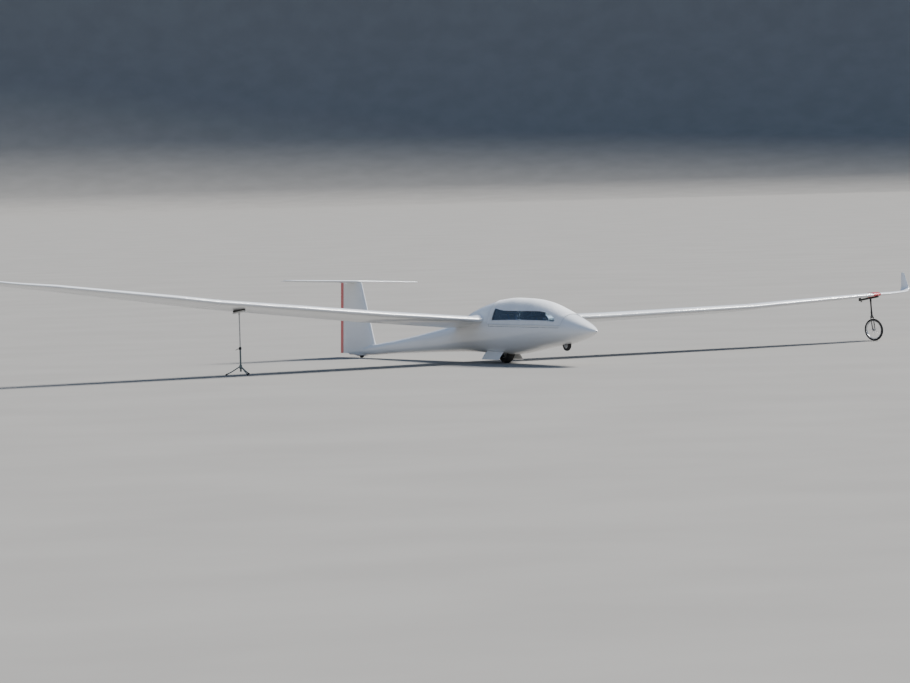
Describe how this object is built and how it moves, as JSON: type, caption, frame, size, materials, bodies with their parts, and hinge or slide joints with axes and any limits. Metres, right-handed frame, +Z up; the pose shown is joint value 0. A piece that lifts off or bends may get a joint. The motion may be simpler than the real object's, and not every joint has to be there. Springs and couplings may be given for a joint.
{
  "type": "two-seat sailplane glider",
  "caption": "Long-winged two-seat glider parked tail-down, one wing on a tripod stand, the other on a clamp-on wing wheel; opening canopy and working control surfaces.",
  "frame": {"origin": "middle of the footprint, on the ground under the wheels and the stand", "axes": "+X to port along the span, +Y aft, +Z up"},
  "size_m": [19.9768, 8.6404, 2.1719],
  "materials": {
    "gelcoat_white": "polished white gelcoat",
    "paint_red": "glossy red paint",
    "canopy_glass": "clear acrylic with a blue-grey tint",
    "cover_cloth": "white fitted cloth",
    "tyre_rubber": "matt black rubber",
    "wheel_alloy": "satin alloy",
    "bare_steel": "satin steel",
    "tube_paint": "grey-green paint",
    "black_plastic": "matt black",
    "seat_trim": "dark blue-grey cloth over a moulded pan"
  },
  "bodies": {
    "airframe": {"fuselage_pod": "gelcoat_white", "tail_boom": "gelcoat_white", "fin": "gelcoat_white", "tailplane": "gelcoat_white", "wing_inner_port": "gelcoat_white", "wing_inner_starboard": "gelcoat_white", "wing_outer_port": "gelcoat_white", "wing_outer_starboard": "gelcoat_white", "winglet_port": "gelcoat_white", "winglet_starboard": "gelcoat_white", "front_seat": "seat_trim", "rear_seat": "seat_trim", "front_instrument_panel": "black_plastic", "rear_instrument_panel": "black_plastic", "front_control_stick": "black_plastic", "rear_control_stick": "black_plastic", "main_wheel_axle": "bare_steel", "main_gear_fork": "bare_steel", "gear_door_port": "gelcoat_white", "gear_door_starboard": "gelcoat_white", "nose_wheel_axle": "bare_steel", "tail_wheel_axle": "bare_steel", "tail_wheel_fairing": "gelcoat_white", "wing_stand_pad": "black_plastic", "wing_stand_crossbar": "bare_steel", "wing_stand_inner_tube": "bare_steel", "wing_stand_outer_tube": "tube_paint", "wing_stand_clamp": "black_plastic", "wing_stand_tripod": "tube_paint", "wing_wheel_clamp_shell": "paint_red", "wing_wheel_clamp_bar": "black_plastic", "wing_wheel_post": "black_plastic"},
    "canopy": {"canopy_frame": "gelcoat_white", "canopy_glass": "canopy_glass", "canopy_cover": "cover_cloth"},
    "rudder": {"rudder": "gelcoat_white", "rudder_red_trailing_edge": "paint_red"},
    "elevator": {"elevator": "gelcoat_white"},
    "aileron_port": {"aileron_port": "gelcoat_white"},
    "aileron_starboard": {"aileron_starboard": "gelcoat_white"},
    "airbrake_port": {"airbrake_port": "gelcoat_white"},
    "airbrake_starboard": {"airbrake_starboard": "gelcoat_white"},
    "main_wheel": {"main_wheel_tyre": "tyre_rubber", "main_wheel_rim": "wheel_alloy"},
    "nose_wheel": {"nose_wheel_tyre": "tyre_rubber", "nose_wheel_rim": "wheel_alloy"},
    "tail_wheel": {"tail_wheel_tyre": "tyre_rubber", "tail_wheel_rim": "wheel_alloy"},
    "wing_wheel_castor": {"wing_wheel_fork": "black_plastic", "wing_wheel_axle": "bare_steel"},
    "wing_wheel": {"wing_wheel_tyre": "tyre_rubber", "wing_wheel_rim": "wheel_alloy"}
  },
  "joints": [
    {"name": "canopy_hinge", "type": "hinge", "parent": "airframe", "child": "canopy", "pos_m": [-0.4118, -2.45525, 0.67334], "axis": [0, -1, 0], "range_deg": [0, 95]},
    {"name": "rudder_hinge", "type": "hinge", "parent": "airframe", "child": "rudder", "pos_m": [-0.04439, 4.03575, 0.74024], "axis": [0.0453, 0.0564, 0.9974], "range_deg": [-30, 30]},
    {"name": "elevator_hinge", "type": "hinge", "parent": "airframe", "child": "elevator", "pos_m": [-0.01333, 4.02175, 1.42423], "axis": [0.999, 0, -0.0454], "range_deg": [-20, 20]},
    {"name": "aileron_port_hinge", "type": "hinge", "parent": "airframe", "child": "aileron_port", "pos_m": [7.21449, -0.45425, 0.7713], "axis": [0.999, 0.0102, 0.0439], "range_deg": [-20, 20]},
    {"name": "aileron_starboard_hinge", "type": "hinge", "parent": "airframe", "child": "aileron_starboard", "pos_m": [-7.27058, -0.45425, 1.42906], "axis": [0.9909, -0.0102, -0.1343], "range_deg": [-20, 20]},
    {"name": "airbrake_port_slide", "type": "slide", "parent": "airframe", "child": "airbrake_port", "axis": [-0.0042, 0.216, 0.9764], "range_m": [0, 0.075]},
    {"name": "airbrake_starboard_slide", "type": "slide", "parent": "airframe", "child": "airbrake_starboard", "axis": [0.0927, 0.216, 0.972], "range_m": [0, 0.075]},
    {"name": "main_wheel_spin", "type": "hinge", "parent": "airframe", "child": "main_wheel", "pos_m": [-0.06938, -1.46025, 0.1898], "axis": [0.999, 0, -0.0454], "continuous": true},
    {"name": "nose_wheel_spin", "type": "hinge", "parent": "airframe", "child": "nose_wheel", "pos_m": [-0.06185, -3.40525, 0.35563], "axis": [0.999, 0, -0.0454], "continuous": true},
    {"name": "tail_wheel_spin", "type": "hinge", "parent": "airframe", "child": "tail_wheel", "pos_m": [-0.07347, 3.52975, 0.0999], "axis": [0.999, 0, -0.0454], "continuous": true},
    {"name": "wing_wheel_swivel", "type": "hinge", "parent": "airframe", "child": "wing_wheel_castor", "pos_m": [8.87471, -0.66066, 0.2132], "axis": [-0.0593, 0, 0.9982], "continuous": true},
    {"name": "wing_wheel_spin", "type": "hinge", "parent": "wing_wheel_castor", "child": "wing_wheel", "pos_m": [8.88287, -0.68744, 0.21369], "axis": [-0.9548, -0.2919, -0.0567], "continuous": true}
  ],
  "couplings": [
    {"joint": "aileron_starboard_hinge", "follows": "aileron_port_hinge", "ratio": -1},
    {"joint": "airbrake_starboard_slide", "follows": "airbrake_port_slide", "ratio": 1}
  ]
}
